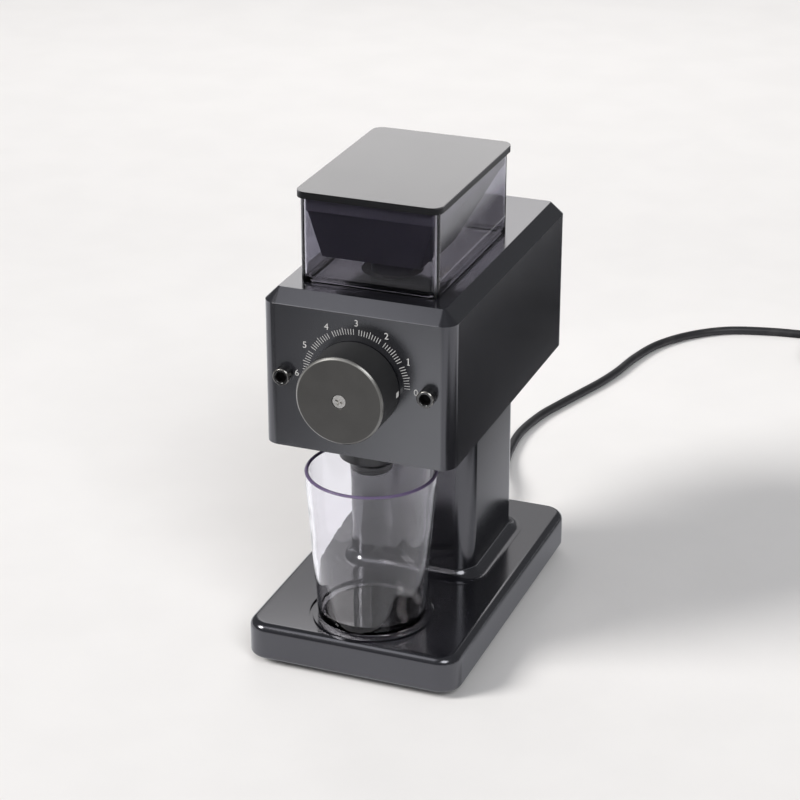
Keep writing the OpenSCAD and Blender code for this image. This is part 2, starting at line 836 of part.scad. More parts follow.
module spindle_bush() {
    color(brass) placed() turned(head_set)
        translate([spindle_r + run_fit, 0]) square([bush_r - spindle_r - run_fit, front_wall]);
}

module adjust_spindle() {
    color(steel) placed() difference() {
        union() {
            rod(spindle_r, dial_front + dial_face, spindle_end);
            rod(spindle_r + 3, inside_y + pass, inside_y + pass + 1.6);
        }
        rod(dial_shank_r, dial_front, dial_front + dial_face + 12);
    }
}

module dial_knob() {
    l = dial_back - dial_front;
    color("#3b3a39") placed() turned(dial_front) difference() {
        polygon([
            [dial_shank_r + 0.1, 0], [dial_r - dial_bevel, 0], [dial_r, dial_bevel], [dial_r, l],
            [dial_r - dial_wall, l], [dial_r - dial_wall, dial_face], [dial_hub_r, dial_face], [dial_hub_r, l],
            [spindle_r + run_fit, l], [spindle_r + run_fit, dial_face], [dial_shank_r + 0.1, dial_face]
        ]);
        translate([-cut, -cut]) square([dial_screw_r + 0.3 + cut, dial_screw_h + cut]);
    }
}

module dial_screw() {
    color(steel) placed() difference() {
        union() {
            rod(dial_screw_r, dial_front + 0.4, dial_front + dial_screw_h);
            rod(dial_shank_r - 0.05, dial_front + dial_screw_h, dial_front + dial_face + 10);
        }
        for (a = [0, 90])
            translate([0, dial_front, axis_z]) rotate([0, a + 20, 0]) translate([-2.2, -cut, -0.45])
                cube([4.4, cut + 1.4, 0.9]);
    }
}

module hopper() {
    color("#5f5c69", 0.45) placed() difference() {
        wall(hop_w, hop_d, hop_r, hop_y, head_top, hop_h - rim_t);
        wall(hop_w - 2 * hop_wall, hop_d - 2 * hop_wall, hop_r - hop_wall, hop_y + hop_wall,
            head_top + hop_foot_h, hop_h);
        wall(hop_w - 2 * hop_foot, hop_d - 2 * hop_foot, 2, hop_y + hop_foot, head_top - cut, hop_h);
    }
}

// Flat-sided taper between two levels, each given by its width, its limits along Y and its height
module taper(w0, y0, z0, w1, y1, z1) {
    reach = 2 * hop_d;
    intersection() {
        translate([0, head_set + reach, 0]) rotate([90, 0, 0]) linear_extrude(2 * reach)
            polygon([[-w0 / 2, z0], [w0 / 2, z0], [w1 / 2, z1], [-w1 / 2, z1]]);
        translate([-reach, 0, 0]) rotate([90, 0, 90]) linear_extrude(2 * reach)
            polygon([[y0[0], z0], [y0[1], z0], [y1[1], z1], [y1[0], z1]]);
    }
}

// Inside or outside of the funnel below its band, drawn in by a distance
module funnel_form(inset) {
    top = funnel_in + funnel_step + inset;
    low = neck_out + 0.8 - inset;
    knee = funnel_knee + 0.5 * inset;
    taper(knee_w - 2 * inset, [knee_y[0] + inset, knee_y[1] - inset], knee,
        hop_w - 2 * top, [hop_y + top, hop_y + hop_d - top], funnel_band + inset);
    taper(2 * low, [neck_y - low, neck_y + low], funnel_low + 0.5 * inset,
        knee_w - 2 * inset, [knee_y[0] + inset, knee_y[1] - inset], knee);
}

module hopper_funnel() {
    color("#302f36", 0.7) placed() difference() {
        union() {
            wall(hop_w, hop_d, hop_r, hop_y, hop_top - rim_t, rim_t);
            wall(hop_w - 2 * funnel_in, hop_d - 2 * funnel_in, hop_r - funnel_in, hop_y + funnel_in,
                funnel_band, rim_band);
            funnel_form(0);
            post(neck_out, neck_end, funnel_low + 2, 0, neck_y);
        }
        wall(hop_w - 2 * funnel_bore, hop_d - 2 * funnel_bore, 1.5, hop_y + funnel_bore,
            funnel_band + funnel_wall, rim_band + cut);
        funnel_form(funnel_wall);
        post(neck_in, neck_end - cut, funnel_low + 6, 0, neck_y);
    }
}

module lid() {
    color("#8f8b8b") placed() difference() {
        wall(hop_w + 2 * lid_over, hop_d + 2 * lid_over, lid_r, hop_y - lid_over,
            hop_top - lid_lip, lid_t + lid_lip);
        wall(hop_w + 2 * pass, hop_d + 2 * pass, hop_r + pass, hop_y - pass, hop_top - lid_lip - cut, lid_lip + cut);
    }
}

module lid_seal() {
    edge = funnel_bore + 0.5;
    color("#54525c") placed() difference() {
        wall(hop_w - 2 * edge, hop_d - 2 * edge, 3.5, hop_y + edge, hop_top - seal_h, seal_h);
        wall(hop_w - 2 * edge - 2 * seal_t, hop_d - 2 * edge - 2 * seal_t, 1.5, hop_y + edge + seal_t,
            hop_top - seal_h - cut, seal_h + 2 * cut);
    }
}

module cup() {
    lean = (cup_rim_r - cup_foot_r) / cup_h;
    color("#cfd0d2", 0.25) placed() translate([0, cup_y, base_top]) rotate_extrude() polygon([
        [0, 0], [cup_foot_r - 2, 0], [cup_foot_r, 2], [cup_rim_r, cup_h - 0.8], [cup_rim_r - 0.8, cup_h],
        [cup_rim_r - cup_wall + 0.6, cup_h], [cup_rim_r - cup_wall, cup_h - 0.6],
        [cup_foot_r - cup_wall + lean * (cup_floor + 3), cup_floor + 3],
        [cup_foot_r - cup_wall - 3, cup_floor], [0, cup_floor]
    ]);
}

module switch_housing() {
    side = -head_w / 2;
    y0 = switch_y - switch_l / 2;
    z0 = switch_z - switch_w / 2;
    color(rubber) placed() difference() {
        union() {
            translate([side - 2, y0 - switch_rim, z0 - switch_rim])
                cube([2, switch_l + 2 * switch_rim, switch_w + 2 * switch_rim]);
            translate([side - 1, y0, z0]) cube([switch_deep + 1, switch_l, switch_w]);
        }
        translate([side, switch_y, switch_z - rocker_w / 2 - 0.2]) cylinder(r = rocker_r + 0.4, h = rocker_w + 0.4);
    }
}

module switch_rocker() {
    color("#242426") placed() translate([-head_w / 2, switch_y, switch_z - rocker_w / 2]) rotate(-rocker_tilt)
        linear_extrude(rocker_w) intersection() {
            circle(rocker_r);
            polygon([[6, -12], [6, 12], [-4.6, 12], [-2.6, 0], [-4.6, -12]]);
        }
}

module strain_relief() {
    color(rubber) placed() {
        difference() {
            translate([0, base_d, exit_z]) rotate([-90, 0, 0]) rotate_extrude() polygon([
                [0, -base_wall - 2], [relief_barrel, -base_wall - 2], [relief_barrel, 0], [8.5, 0], [8.5, 2],
                [6.5, 3], [cord_r + 0.9, relief_l], [0, relief_l]
            ]);
            for (i = [0 : 3])
                translate([0, base_d + 7 + i * 4.6, exit_z]) rotate([-90, 0, 0]) difference() {
                    cylinder(r = 9, h = 1.8);
                    translate([0, 0, -cut]) cylinder(r = cord_r + 0.6, h = 4);
                }
        }
    }
}

// Point at a share of the way between p1 and p2 on a smooth curve through p0 to p3
function curve(p0, p1, p2, p3, s) =
    0.5 * (2 * p1 + (p2 - p0) * s + (2 * p0 - 5 * p1 + 4 * p2 - p3) * s * s
        + (3 * p1 - p0 - 3 * p2 + p3) * s * s * s);
function at(list, i) = list[max(0, min(len(list) - 1, i))];
function smooth(list, steps) = [
    for (i = [0 : len(list) - 2], k = [0 : steps - 1])
        curve(at(list, i - 1), at(list, i), at(list, i + 1), at(list, i + 2), k / steps),
    at(list, len(list) - 1)
];

// Length of a path
function run(p, i = 0) = i >= len(p) - 1 ? 0 : norm(p[i + 1] - p[i]) + run(p, i + 1);

// Tube along a path that lies nearly flat
module tube(path, r, sides) {
    n = len(path);
    points = [
        for (i = [0 : n - 1])
            let (t = at(path, i + 1) - at(path, i - 1), d = t / norm(t))
            let (c = cross(d, [0, 0, 1]), u = c / norm(c), v = cross(u, d))
            for (k = [0 : sides - 1]) path[i] + r * (cos(360 * k / sides) * u + sin(360 * k / sides) * v)
    ];
    faces = [
        [for (k = [0 : sides - 1]) k],
        [for (k = [0 : sides - 1]) n * sides - 1 - k],
        for (i = [0 : n - 2], k = [0 : sides - 1])
            let (a = i * sides + k, b = i * sides + (k + 1) % sides)
            each [[a, a + sides, b], [b, a + sides, b + sides]]
    ];
    polyhedron(points, faces);
}

module power_cord() {
    color("#2d2d30") placed() translate([0, base_d, 0]) tube(smooth(route, 2), cord_r, 10);
}

// The coil: in along the floor, up a layer where it turns back, and out again
turn_steps = 24;
function ease(s) = s * s * (3 - 2 * s);
function coil_radius(t) = coil_out - coil_step * min(t, coil_rounds - t);
function coil_height(t) = coil_z + coil_step * ease(max(0, min(1, 2 * t - coil_rounds + 0.5)));
function coil_at(t) = [
    coil_x + coil_radius(t) * sin(360 * t), coil_y + coil_radius(t) * cos(360 * t), coil_height(t)
];
coil_path = concat(
    [[coil_x - lead, lay_y, coil_z], [coil_x - lead / 2, lay_y, coil_z]],
    [for (i = [1 : coil_rounds * turn_steps - 1]) coil_at(i / turn_steps)],
    [[coil_x + lead / 2, lay_y, coil_z + coil_step], [coil_x + lead, lay_y, coil_z + coil_step]]
);

// Least distance between turns of the coil that don't follow each other
coil_near = min([
    for (i = [0 : len(coil_path) - 1], j = [i + 8 : 1 : len(coil_path) - 1]) norm(coil_path[i] - coil_path[j])
]);
echo(least_gap_in_coil = coil_near - cord_d);
echo(cord_length = relief_l + run(smooth(route, 2)) + run(coil_path));

module cord_coil() {
    color("#2d2d30") placed() translate([0, base_d, 0]) tube(coil_path, cord_r, 6);
}

module cord_tie() {
    r0 = coil_in - cord_r - 0.6;
    r1 = coil_out + cord_r + 0.6;
    h = coil_z + coil_step + cord_r + 0.6;
    color("#3c3c40") placed() translate([coil_x, base_d + coil_y - 4, 0]) difference() {
        translate([r0 - 1.2, 0, 0.2]) cube([r1 - r0 + 2.4, 8, h + 1]);
        translate([r0, -cut, 1.3]) cube([r1 - r0, 8 + 2 * cut, h - 1.3]);
    }
}

plug_x = coil_x + lead;
plug_z = coil_z + coil_step;

module plug_body() {
    color("#262629") placed() translate([plug_x, base_d + lay_y, plug_z]) rotate([0, 90, 0]) rotate_extrude()
        polygon([
            [0, 0], [cord_r + 0.7, 0], [cord_r + 1.4, 12], [cord_r + 1.6, 13.5], [8, 20], [8.4, 25],
            [plug_r - 0.6, 30], [plug_r, 31], [plug_r, plug_l - 1], [plug_r - 1, plug_l], [0, plug_l]
        ]);
}

module plug_blades() {
    color(brass) placed()
        for (s = [-1, 1])
            translate([plug_x + plug_l, base_d + lay_y + s * blade_gap / 2 - blade_t / 2, plug_z - blade_w / 2])
                cube([blade_l, blade_t, blade_w]);
}

base_plate();
bottom_cover();
rubber_feet();
cover_screws();
power_board();
column();
column_screws();
head_shell();
head_screws();
rear_cover();
rear_screws();
cap_screws();
grind_chamber();
chute();
throat_seal();
outer_burr();
burr_carrier();
inner_burr();
burr_bolt();
feed_auger();
drive_shaft();
front_bearing();
rear_bearing();
motor_can();
end_bell();
motor_screws();
stator_core();
windings();
rotor_core();
cooling_fan();
spindle_bush();
adjust_spindle();
dial_knob();
dial_screw();
hopper();
hopper_funnel();
lid();
lid_seal();
cup();
switch_housing();
switch_rocker();
strain_relief();
power_cord();
cord_coil();
cord_tie();
plug_body();
plug_blades();
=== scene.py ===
import bpy, bmesh
from math import cos, sin, tau, radians
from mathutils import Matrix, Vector


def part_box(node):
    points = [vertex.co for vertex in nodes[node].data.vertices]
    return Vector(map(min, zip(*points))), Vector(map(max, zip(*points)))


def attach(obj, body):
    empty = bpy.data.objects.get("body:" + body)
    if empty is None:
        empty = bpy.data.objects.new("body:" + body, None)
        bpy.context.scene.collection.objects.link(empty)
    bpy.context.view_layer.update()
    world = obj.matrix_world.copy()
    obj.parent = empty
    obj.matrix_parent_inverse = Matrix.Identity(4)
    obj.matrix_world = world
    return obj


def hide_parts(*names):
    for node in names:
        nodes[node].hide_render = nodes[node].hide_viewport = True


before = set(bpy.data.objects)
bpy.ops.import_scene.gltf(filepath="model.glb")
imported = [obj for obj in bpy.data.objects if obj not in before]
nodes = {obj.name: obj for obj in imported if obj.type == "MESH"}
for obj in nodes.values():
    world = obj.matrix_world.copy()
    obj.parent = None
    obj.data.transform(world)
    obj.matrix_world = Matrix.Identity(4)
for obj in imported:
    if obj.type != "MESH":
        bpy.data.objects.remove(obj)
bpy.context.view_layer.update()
mm = 0.001
scene = bpy.context.scene
scene.view_settings.view_transform = "Standard"


def mark(stage):
    print("grinder:", stage)


def newObject(name, data):
    piece = bpy.data.objects.new(name, data)
    scene.collection.objects.link(piece)
    return piece


# faces of the solids that the added pieces and the finishes follow
baseFront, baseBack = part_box("base_plate")[0][1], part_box("base_plate")[1][1]
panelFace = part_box("head_shell")[0][1]
dialLow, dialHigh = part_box("dial_knob")
dialHeight = 0.5 * (dialLow[2] + dialHigh[2])
dialRadius = 0.5 * (dialHigh[0] - dialLow[0])

# camera, solved from the corners of base and head, m from the middle of the base's front
shot = {"at": (0.46335, -1.11998, 0.72184), "tilt": 65.833, "turn": 21.057,
        "lens": 109.94, "sensor": 36, "near": 0.05, "far": 80}


def placeCamera():
    lens = bpy.data.cameras.new("tableView")
    lens.sensor_width, lens.lens = shot["sensor"], shot["lens"]
    lens.clip_start, lens.clip_end = shot["near"], shot["far"]
    eye = newObject("tableView", lens)
    eye.location = Vector(shot["at"]) + Vector((0, baseFront, 0))
    eye.rotation_euler = (radians(shot["tilt"]), 0, radians(shot["turn"]))
    scene.camera = eye


placeCamera()
mark("camera stands")

# mains lead: loose run behind the base, then a flat coil with the plug beside it, mm from the base's back
lead = {
    "radius": 3.0, "roundness": 6, "knotSteps": 6,
    "run": [(0, 28, 15), (0, 42, 14.2), (-2, 64, 9.5), (-6, 86, 5), (-11, 110, 3.1), (-14, 142, 3.1),
            (-10, 174, 3.1), (-3, 198, 3.1), (5, 222, 3.1), (13, 246, 3.1), (19, 270, 3.1), (24, 300, 3.1),
            (33, 330, 3.1), (50, 356, 3.1), (74, 376, 3.1), (104, 385.875, 3.1), (132, 389.875, 3.1),
            (156, 389.875, 3.9), (169, 389.875, 4.5), (177, 389.875, 4.5)],
    "coilAt": (184, 352), "coilOut": 37.875, "coilLow": 4.5, "pitch": 6.5, "rounds": 3, "roundSteps": 40,
    "climbFrom": 1.25, "climbRounds": 0.5, "tail": 7,
}


def between(a, b, c, d, t):
    # smooth curve from b to c
    return tuple(0.5 * (2 * q + (r - p) * t + (2 * p - 5 * q + 4 * r - s) * t ** 2
                        + (3 * q - p - 3 * r + s) * t ** 3)
                 for p, q, r, s in zip(a, b, c, d))


def pastEnd(end, inner):
    # a knot beyond the run's end, so that the curve leaves it straight
    return tuple(2 * a - b for a, b in zip(end, inner))


def leadPoints():
    run, steps = lead["run"], lead["knotSteps"]
    knots = [pastEnd(run[0], run[1])] + run + [pastEnd(run[-1], run[-2])]
    points = [between(*knots[i:i + 4], k / steps) for i in range(len(run) - 1) for k in range(steps)]
    points.append(run[-1])
    x, y = lead["coilAt"]
    for k in range(lead["rounds"] * lead["roundSteps"] + 1):
        turn = k / lead["roundSteps"]
        # the rounds run in, then out again on top
        reach = lead["coilOut"] - lead["pitch"] * min(turn, lead["rounds"] - turn)
        climb = min(1, max(0, (turn - lead["climbFrom"]) / lead["climbRounds"]))
        z = lead["coilLow"] + lead["pitch"] * climb * climb * (3 - 2 * climb)
        points.append((x + reach * sin(tau * turn), y + reach * cos(tau * turn), z))
    points.append((x + lead["tail"], y + lead["coilOut"], points[-1][2]))
    return [Vector((px * mm, py * mm + baseBack, pz * mm)) for px, py, pz in points]


def makeLead():
    points = leadPoints()
    line = bpy.data.curves.new("leadLine", "CURVE")
    line.dimensions = "3D"
    line.bevel_depth, line.bevel_resolution = lead["radius"] * mm, lead["roundness"]
    line.use_fill_caps = True
    spline = line.splines.new("POLY")
    spline.points.add(len(points) - 1)
    for knot, point in zip(spline.points, points):
        knot.co = (*point, 1)
    holder = bpy.data.objects.new("leadLine", line)
    data = bpy.data.meshes.new_from_object(holder)
    data.name = "mainsLead"
    data.polygons.foreach_set("use_smooth", [True] * len(data.polygons))
    piece = newObject("mainsLead", data)
    bpy.data.objects.remove(holder)
    bpy.data.curves.remove(line)
    length = sum((b - a).length for a, b in zip(points, points[1:]))
    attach(piece, "frame")
    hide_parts("power_cord", "cord_coil")
    mark("lead laid, %.3f m" % length)
    return piece


mainsLead = makeLead()


class Wire:
    # a shader socket that takes part in sums
    def __init__(self, finish, socket):
        self.finish, self.socket = finish, socket

    def sum(self, operation, *terms):
        return self.finish.add("Math", {"operation": operation}, terms)

    def __add__(self, other):
        return self.sum("ADD", self, other)

    def __radd__(self, other):
        return self.sum("ADD", other, self)

    def __sub__(self, other):
        return self.sum("SUBTRACT", self, other)

    def __rsub__(self, other):
        return self.sum("SUBTRACT", other, self)

    def __mul__(self, other):
        return self.sum("MULTIPLY", self, other)

    def __rmul__(self, other):
        return self.sum("MULTIPLY", other, self)

    def __truediv__(self, other):
        return self.sum("DIVIDE", self, other)

    def __rtruediv__(self, other):
        return self.sum("DIVIDE", other, self)

    def __pow__(self, other):
        return self.sum("POWER", self, other)

    def __abs__(self):
        return self.sum("ABSOLUTE", self)

    def least(self, other):
        return self.sum("MINIMUM", self, other)

    def most(self, other):
        return self.sum("MAXIMUM", self, other)

    def sine(self):
        return self.sum("SINE", self)

    def sway(self, reach):
        # noise about its middle value
        return reach * (self - 0.5)

    def ramp(self, low, high, fromValue=0, toValue=1):
        return self.finish.add("MapRange", {"interpolation_type": "SMOOTHSTEP"},
                               {"Value": self, "From Min": low, "From Max": high,
                                "To Min": fromValue, "To Max": toValue})

    def within(self, near, far):
        # 1 up to near, 0 from far on, mm
        return self.ramp(near * mm, far * mm, 1, 0)

    def past(self, near, far):
        # 0 up to near, 1 from far on, mm
        return self.ramp(near * mm, far * mm)


def radial(across, along):
    return (across ** 2 + along ** 2) ** 0.5


def socketNames(values):
    return {key.replace("_", " "): value for key, value in values.items()}


def rgb(*screen):
    # screen colour 0-255 to linear
    return tuple(c / 12.92 if c <= 0.04045 else ((c + 0.055) / 1.055) ** 2.4
                 for c in (value / 255 for value in screen))


def shade(colour, share):
    return tuple(c * share for c in colour)


class Finish:
    broadPatch = (0.3, 0.7)  # noise values between which a tone changes over

    def __init__(self, name, **constants):
        self.material = bpy.data.materials.new(name)
        self.material.use_nodes = True
        self.tree = self.material.node_tree
        self.shader = self.tree.nodes["Principled BSDF"]
        self.spot = self.add("TexCoord", out="Object")
        self.feed(**constants)

    def add(self, kind, settings=None, inputs=(), out=0):
        node = self.tree.nodes.new("ShaderNode" + kind)
        for key, value in (settings or {}).items():
            setattr(node, key, value)
        for key, value in (inputs.items() if isinstance(inputs, dict) else enumerate(inputs)):
            self.join(node.inputs[key], value)
        return Wire(self, node.outputs[out])

    def join(self, socket, value):
        if isinstance(value, Wire):
            self.tree.links.new(value.socket, socket)
        elif socket.type == "RGBA":
            socket.default_value = (*value[:3], 1)
        else:
            socket.default_value = value

    def feed(self, **values):
        for key, value in socketNames(values).items():
            self.join(self.shader.inputs[key], value)

    def cover(self, mask, **values):
        # a second shader over the first where the mask is 1
        over = self.add("BsdfPrincipled", {}, socketNames(values))
        mixed = self.add("MixShader", {}, (mask, Wire(self, self.shader.outputs[0]), over))
        self.join(self.tree.nodes["Material Output"].inputs["Surface"], mixed)

    def axes(self):
        parts = self.add("SeparateXYZ", {}, (self.spot,)).socket.node
        return [Wire(self, out) for out in parts.outputs]

    def under(self, node):
        # distance below a piece's top
        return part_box(node)[1][2] - self.axes()[2]

    def insets(self, node):
        # along each axis, distance from the nearer side of a piece's box
        low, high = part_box(node)
        return [(p - low[i]).least(high[i] - p) for i, p in enumerate(self.axes())]

    def rim(self, node, width):
        # 1 along the edges of a piece's box, 0 away from them
        x, y, z = self.insets(node)
        secondNearest = x.least(y).most(x.most(y).least(z))
        return secondNearest.within(0, width)

    def grain(self, size, detail=2.0, stretch=None):
        # noise with spots of about this size, mm
        spot = self.spot
        if stretch:
            spot = self.add("VectorMath", {"operation": "MULTIPLY"}, (spot, stretch))
        return self.add("TexNoise", {}, {"Vector": spot, "Scale": 1 / (size * mm), "Detail": detail})

    def rings(self, distance, rate, waver, waverSize):
        # lathe marks along a distance, rate in radians to the metre
        return (distance * rate + waver * self.grain(waverSize)).sine() * 0.5 + 0.5

    def blend(self, mask, first, second):
        return self.add("Mix", {"data_type": "RGBA"}, {0: mask, 6: first, 7: second}, out=2)

    def mottle(self, drift, darker, lighter):
        return self.blend(drift.ramp(*self.broadPatch), darker, lighter)

    def dents(self, height, strength, depth):
        return self.add("Bump", {}, {"Strength": strength, "Distance": depth * mm, "Height": height})


class Sky(Finish):
    # the world's nodes, with the same helpers
    def __init__(self, name):
        self.material = bpy.data.worlds.new(name)
        self.material.use_nodes = True
        self.tree = self.material.node_tree
        self.shader = self.tree.nodes["Background"]


# In the finishes, noise is (spot size in mm, detail) and a dent is (strength, depth in mm).
# satin black coat: broad tone drift, faint orange-peel, edges rubbed a little lighter
coat = {
    "colour": rgb(20, 20, 24), "ior": 1.85, "tint": (0.95, 0.95, 1.0), "rough": 0.17,
    "drift": (90, 3), "darker": 0.85, "lighter": 1.15,
    "peel": (1.6, 2), "peelRough": 0.03, "peelDent": (0.05, 0.04), "rub": (14, 4), "rubRough": 0.03,
    "rim": 3.0, "rubbed": (0.4, 0.7), "wear": 0.3, "wornShade": 2.0, "wornRough": 0.08,
    "panelDepth": (0.1, 0.5), "panelRough": 0.09, "panelIor": 2.25, "panelTint": (0.96, 0.97, 1.0),
}


def coatFinish(name, node=None, colour=coat["colour"], rough=coat["rough"], withPanel=False):
    finish = Finish(name, IOR=coat["ior"], Specular_Tint=coat["tint"])
    drift, peel, rub = [finish.grain(*coat[key]) for key in ("drift", "peel", "rub")]
    tone = finish.mottle(drift, shade(colour, coat["darker"]), shade(colour, coat["lighter"]))
    gloss = rough + rub.sway(coat["rubRough"]) + peel.sway(coat["peelRough"])
    if node:
        worn = finish.rim(node, coat["rim"]) * rub.ramp(*coat["rubbed"]) * coat["wear"]
        tone = finish.blend(worn, tone, shade(colour, coat["wornShade"]))
        gloss = gloss + coat["wornRough"] * worn
    skin = finish.dents(peel, *coat["peelDent"])
    finish.feed(Base_Color=tone, Roughness=gloss, Normal=skin)
    if withPanel:  # the flat round the dial is duller and mirrors more
        panel = (finish.axes()[1] - panelFace).within(*coat["panelDepth"])
        finish.cover(panel, Base_Color=tone, Roughness=gloss + coat["panelRough"], Normal=skin,
                     IOR=coat["panelIor"], Specular_Tint=coat["panelTint"])
    return finish.material


# cap screws: black oxide; bright metal round the rim, partly rubbing wear and partly a painted highlight;
# darker and dull in the socket, painted shade in the recess (radii as shares of the head's)
cap = {
    "colour": rgb(15, 15, 16), "ior": 1.85, "rough": 0.2, "rub": (3, 3), "rubRough": 0.1,
    "rimWearAndHighlight": rgb(118, 116, 112), "rimFrom": (0.84, 0.9), "rimDepth": (0.3, 0.7), "rubbed": (0.2, 0.45),
    "rimMetal": 0.8,
    "socketShade": rgb(13, 12, 12), "socketTo": (0.64, 0.72), "socketRough": 0.5, "socketIor": 1.2,
}


def capFinish():
    finish = Finish("capOxide", IOR=cap["ior"])
    low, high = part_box("cap_screws")
    headRadius, headHeight = 0.5 * (high[2] - low[2]), 0.5 * (high[2] + low[2])
    x, y, z = finish.axes()
    radius = radial(abs(x) - (high[0] - headRadius), z - headHeight) / headRadius
    rub = finish.grain(*cap["rub"])
    # bright metal round the rim: partly rubbing wear, partly a painted highlight
    rim = radius.ramp(*cap["rimFrom"]) * (y - low[1]).within(*cap["rimDepth"]) * rub.ramp(*cap["rubbed"])
    finish.feed(Base_Color=finish.blend(rim, cap["colour"], cap["rimWearAndHighlight"]),
                Metallic=rim * cap["rimMetal"], Roughness=cap["rough"] + rub.sway(cap["rubRough"]))
    # the socket is painted darker and duller: painted shade in the recess
    finish.cover(radius.ramp(*cap["socketTo"], 1, 0), Base_Color=cap["socketShade"], IOR=cap["socketIor"],
                 Roughness=cap["socketRough"] + rub.sway(cap["rubRough"]))
    return finish.material


# moulded plastic: fine grain, broad tone drift
plastic = {"drift": (30, 3), "darker": 0.86, "lighter": 1.14, "driftRough": 0.12,
           "speckDetail": 3, "speckRough": 0.06, "speckDent": 0.25}


def plasticFinish(name, colour, rough=0.42, speckSize=0.5, depth=0.05, ior=1.5):
    finish = Finish(name, IOR=ior)
    speck = finish.grain(speckSize, plastic["speckDetail"])
    drift = finish.grain(*plastic["drift"])
    tone = finish.mottle(drift, shade(colour, plastic["darker"]), shade(colour, plastic["lighter"]))
    gloss = rough + drift.sway(plastic["driftRough"]) + speck.sway(plastic["speckRough"])
    finish.feed(Base_Color=tone, Roughness=gloss, Normal=finish.dents(speck, plastic["speckDent"], depth))
    return finish.material


# bare metal: brush lines along an axis, or lathe rings round a middle, and faint stains
metal = {"lines": (4, 3), "stretch": 30.0, "rings": (9000, 3, 3),
         "lineRough": 0.18, "lineDent": 0.12, "lineDepth": 0.03,
         "stains": (11, 4), "stained": (0.45, 0.7), "stainShade": 0.6, "stainRough": 0.12}


def metalFinish(name, colour, rough=0.28, axis=1, streak=0.6, stain=0.25, middle=None):
    finish = Finish(name, Metallic=1.0)
    if middle:
        across, along = [p for i, p in enumerate(finish.axes()) if i != axis]
        lines = finish.rings(radial(across - middle[0], along - middle[1]), *metal["rings"])
    else:
        lines = finish.grain(*metal["lines"], [1.0 if i == axis else metal["stretch"] for i in range(3)])
    stains = finish.grain(*metal["stains"])
    tone = finish.blend(stains.ramp(*metal["stained"]) * stain, colour, shade(colour, metal["stainShade"]))
    gloss = rough + lines.sway(metal["lineRough"] * streak) + stains.sway(metal["stainRough"])
    finish.feed(Base_Color=tone, Roughness=gloss,
                Normal=finish.dents(lines, metal["lineDent"] * streak, metal["lineDepth"]))
    return finish.material


# rubber: fine skin, dust that sits in patches
rubber = {"specular": 0.35, "skin": (0.45, 3), "skinDent": (0.3, 0.06),
          "dust": (9, 5), "dusty": (0.5, 0.75), "dustShare": 0.5, "dustShade": 1.8, "dustRough": 0.15}


def rubberFinish(name, colour, rough=0.6):
    finish = Finish(name, Specular_IOR_Level=rubber["specular"])
    skin, dust = finish.grain(*rubber["skin"]), finish.grain(*rubber["dust"])
    dusty = dust.ramp(*rubber["dusty"]) * rubber["dustShare"]
    finish.feed(Base_Color=finish.blend(dusty, colour, shade(colour, rubber["dustShade"])),
                Roughness=rough + dust.sway(rubber["dustRough"]),
                Normal=finish.dents(skin, *rubber["skinDent"]))
    return finish.material


# lid: polished top, edge left matt from the mould
lid = {
    "darker": shade(rgb(18, 18, 20), 0.86), "lighter": shade(rgb(18, 18, 20), 1.14),
    "speck": (0.8, 3), "drift": (30, 3), "speckRough": 0.04,
    "ior": 1.7, "rough": 0.2, "driftRough": 0.06, "dent": (0.25, 0.01),
    "edgeFrom": (0.4, 0.9), "edgeIor": 1.35, "edgeRough": 0.42, "edgeDriftRough": 0.1,
    "edgeDent": (0.3, 0.03),
}


def lidFinish():
    finish = Finish("lidPlastic", IOR=lid["ior"])
    speck, drift = finish.grain(*lid["speck"]), finish.grain(*lid["drift"])
    tone = finish.mottle(drift, lid["darker"], lid["lighter"])
    gloss = lid["rough"] + drift.sway(lid["driftRough"]) + speck.sway(lid["speckRough"])
    finish.feed(Base_Color=tone, Roughness=gloss, Normal=finish.dents(speck, *lid["dent"]))
    finish.cover(finish.under("lid").past(*lid["edgeFrom"]), Base_Color=tone, IOR=lid["edgeIor"],
                 Roughness=lid["edgeRough"] + drift.sway(lid["edgeDriftRough"]),
                 Normal=finish.dents(speck, *lid["edgeDent"]))
    return finish.material


# funnel: dark smoky plastic; the upright collar under the lid, where it is thin, is painted lighter:
# painted light
funnel = {"darker": rgb(82, 80, 90), "lighter": rgb(88, 86, 96), "litCollar": rgb(132, 129, 140),
          "collarTo": (9.0, 9.3), "ior": 1.35, "rough": 0.4, "drift": (30, 3), "driftRough": 0.1,
          "speck": (0.3, 3), "speckRough": 0.06, "speckDent": (0.25, 0.004)}


def funnelFinish():
    finish = Finish("funnelPlastic", IOR=funnel["ior"])
    litCollar = finish.under("hopper_funnel").within(*funnel["collarTo"])
    speck, drift = finish.grain(*funnel["speck"]), finish.grain(*funnel["drift"])
    tone = finish.mottle(drift, funnel["darker"], funnel["lighter"])
    gloss = funnel["rough"] + drift.sway(funnel["driftRough"]) + speck.sway(funnel["speckRough"])
    # the collar's lighter colour is painted light
    finish.feed(Base_Color=finish.blend(litCollar, tone, funnel["litCollar"]), Roughness=gloss,
                Normal=finish.dents(speck, *funnel["speckDent"]))
    return finish.material


# clear walls of hopper and cup: rubbed haze, fine scratches, a little uneven from the mould
clear = {
    "rub": (22, 4), "rubbed": (0.45, 0.75), "rubShare": 0.25, "rubShade": 0.9, "rubHaze": 0.5,
    "scratch": (2.2, 2), "scratchStretch": (1.0, 1.0, 22.0), "scratchHaze": 0.03,
    "wave": (16, 2), "waveDent": (0.012, 0.2),
    "cornerHighlight": (0.93, 0.92, 0.95), "cornerHighlightTo": (1.2, 3.2), "cornerHighlightShare": 0.8, "cornerHaze": 0.3,
    "lipTo": (0.9, 1.4), "paintedLipDarker": rgb(92, 80, 108), "paintedLipLighter": rgb(104, 92, 120),
    "lipRough": 0.16, "lipRubRough": 0.1, "lipIor": 1.45,
}


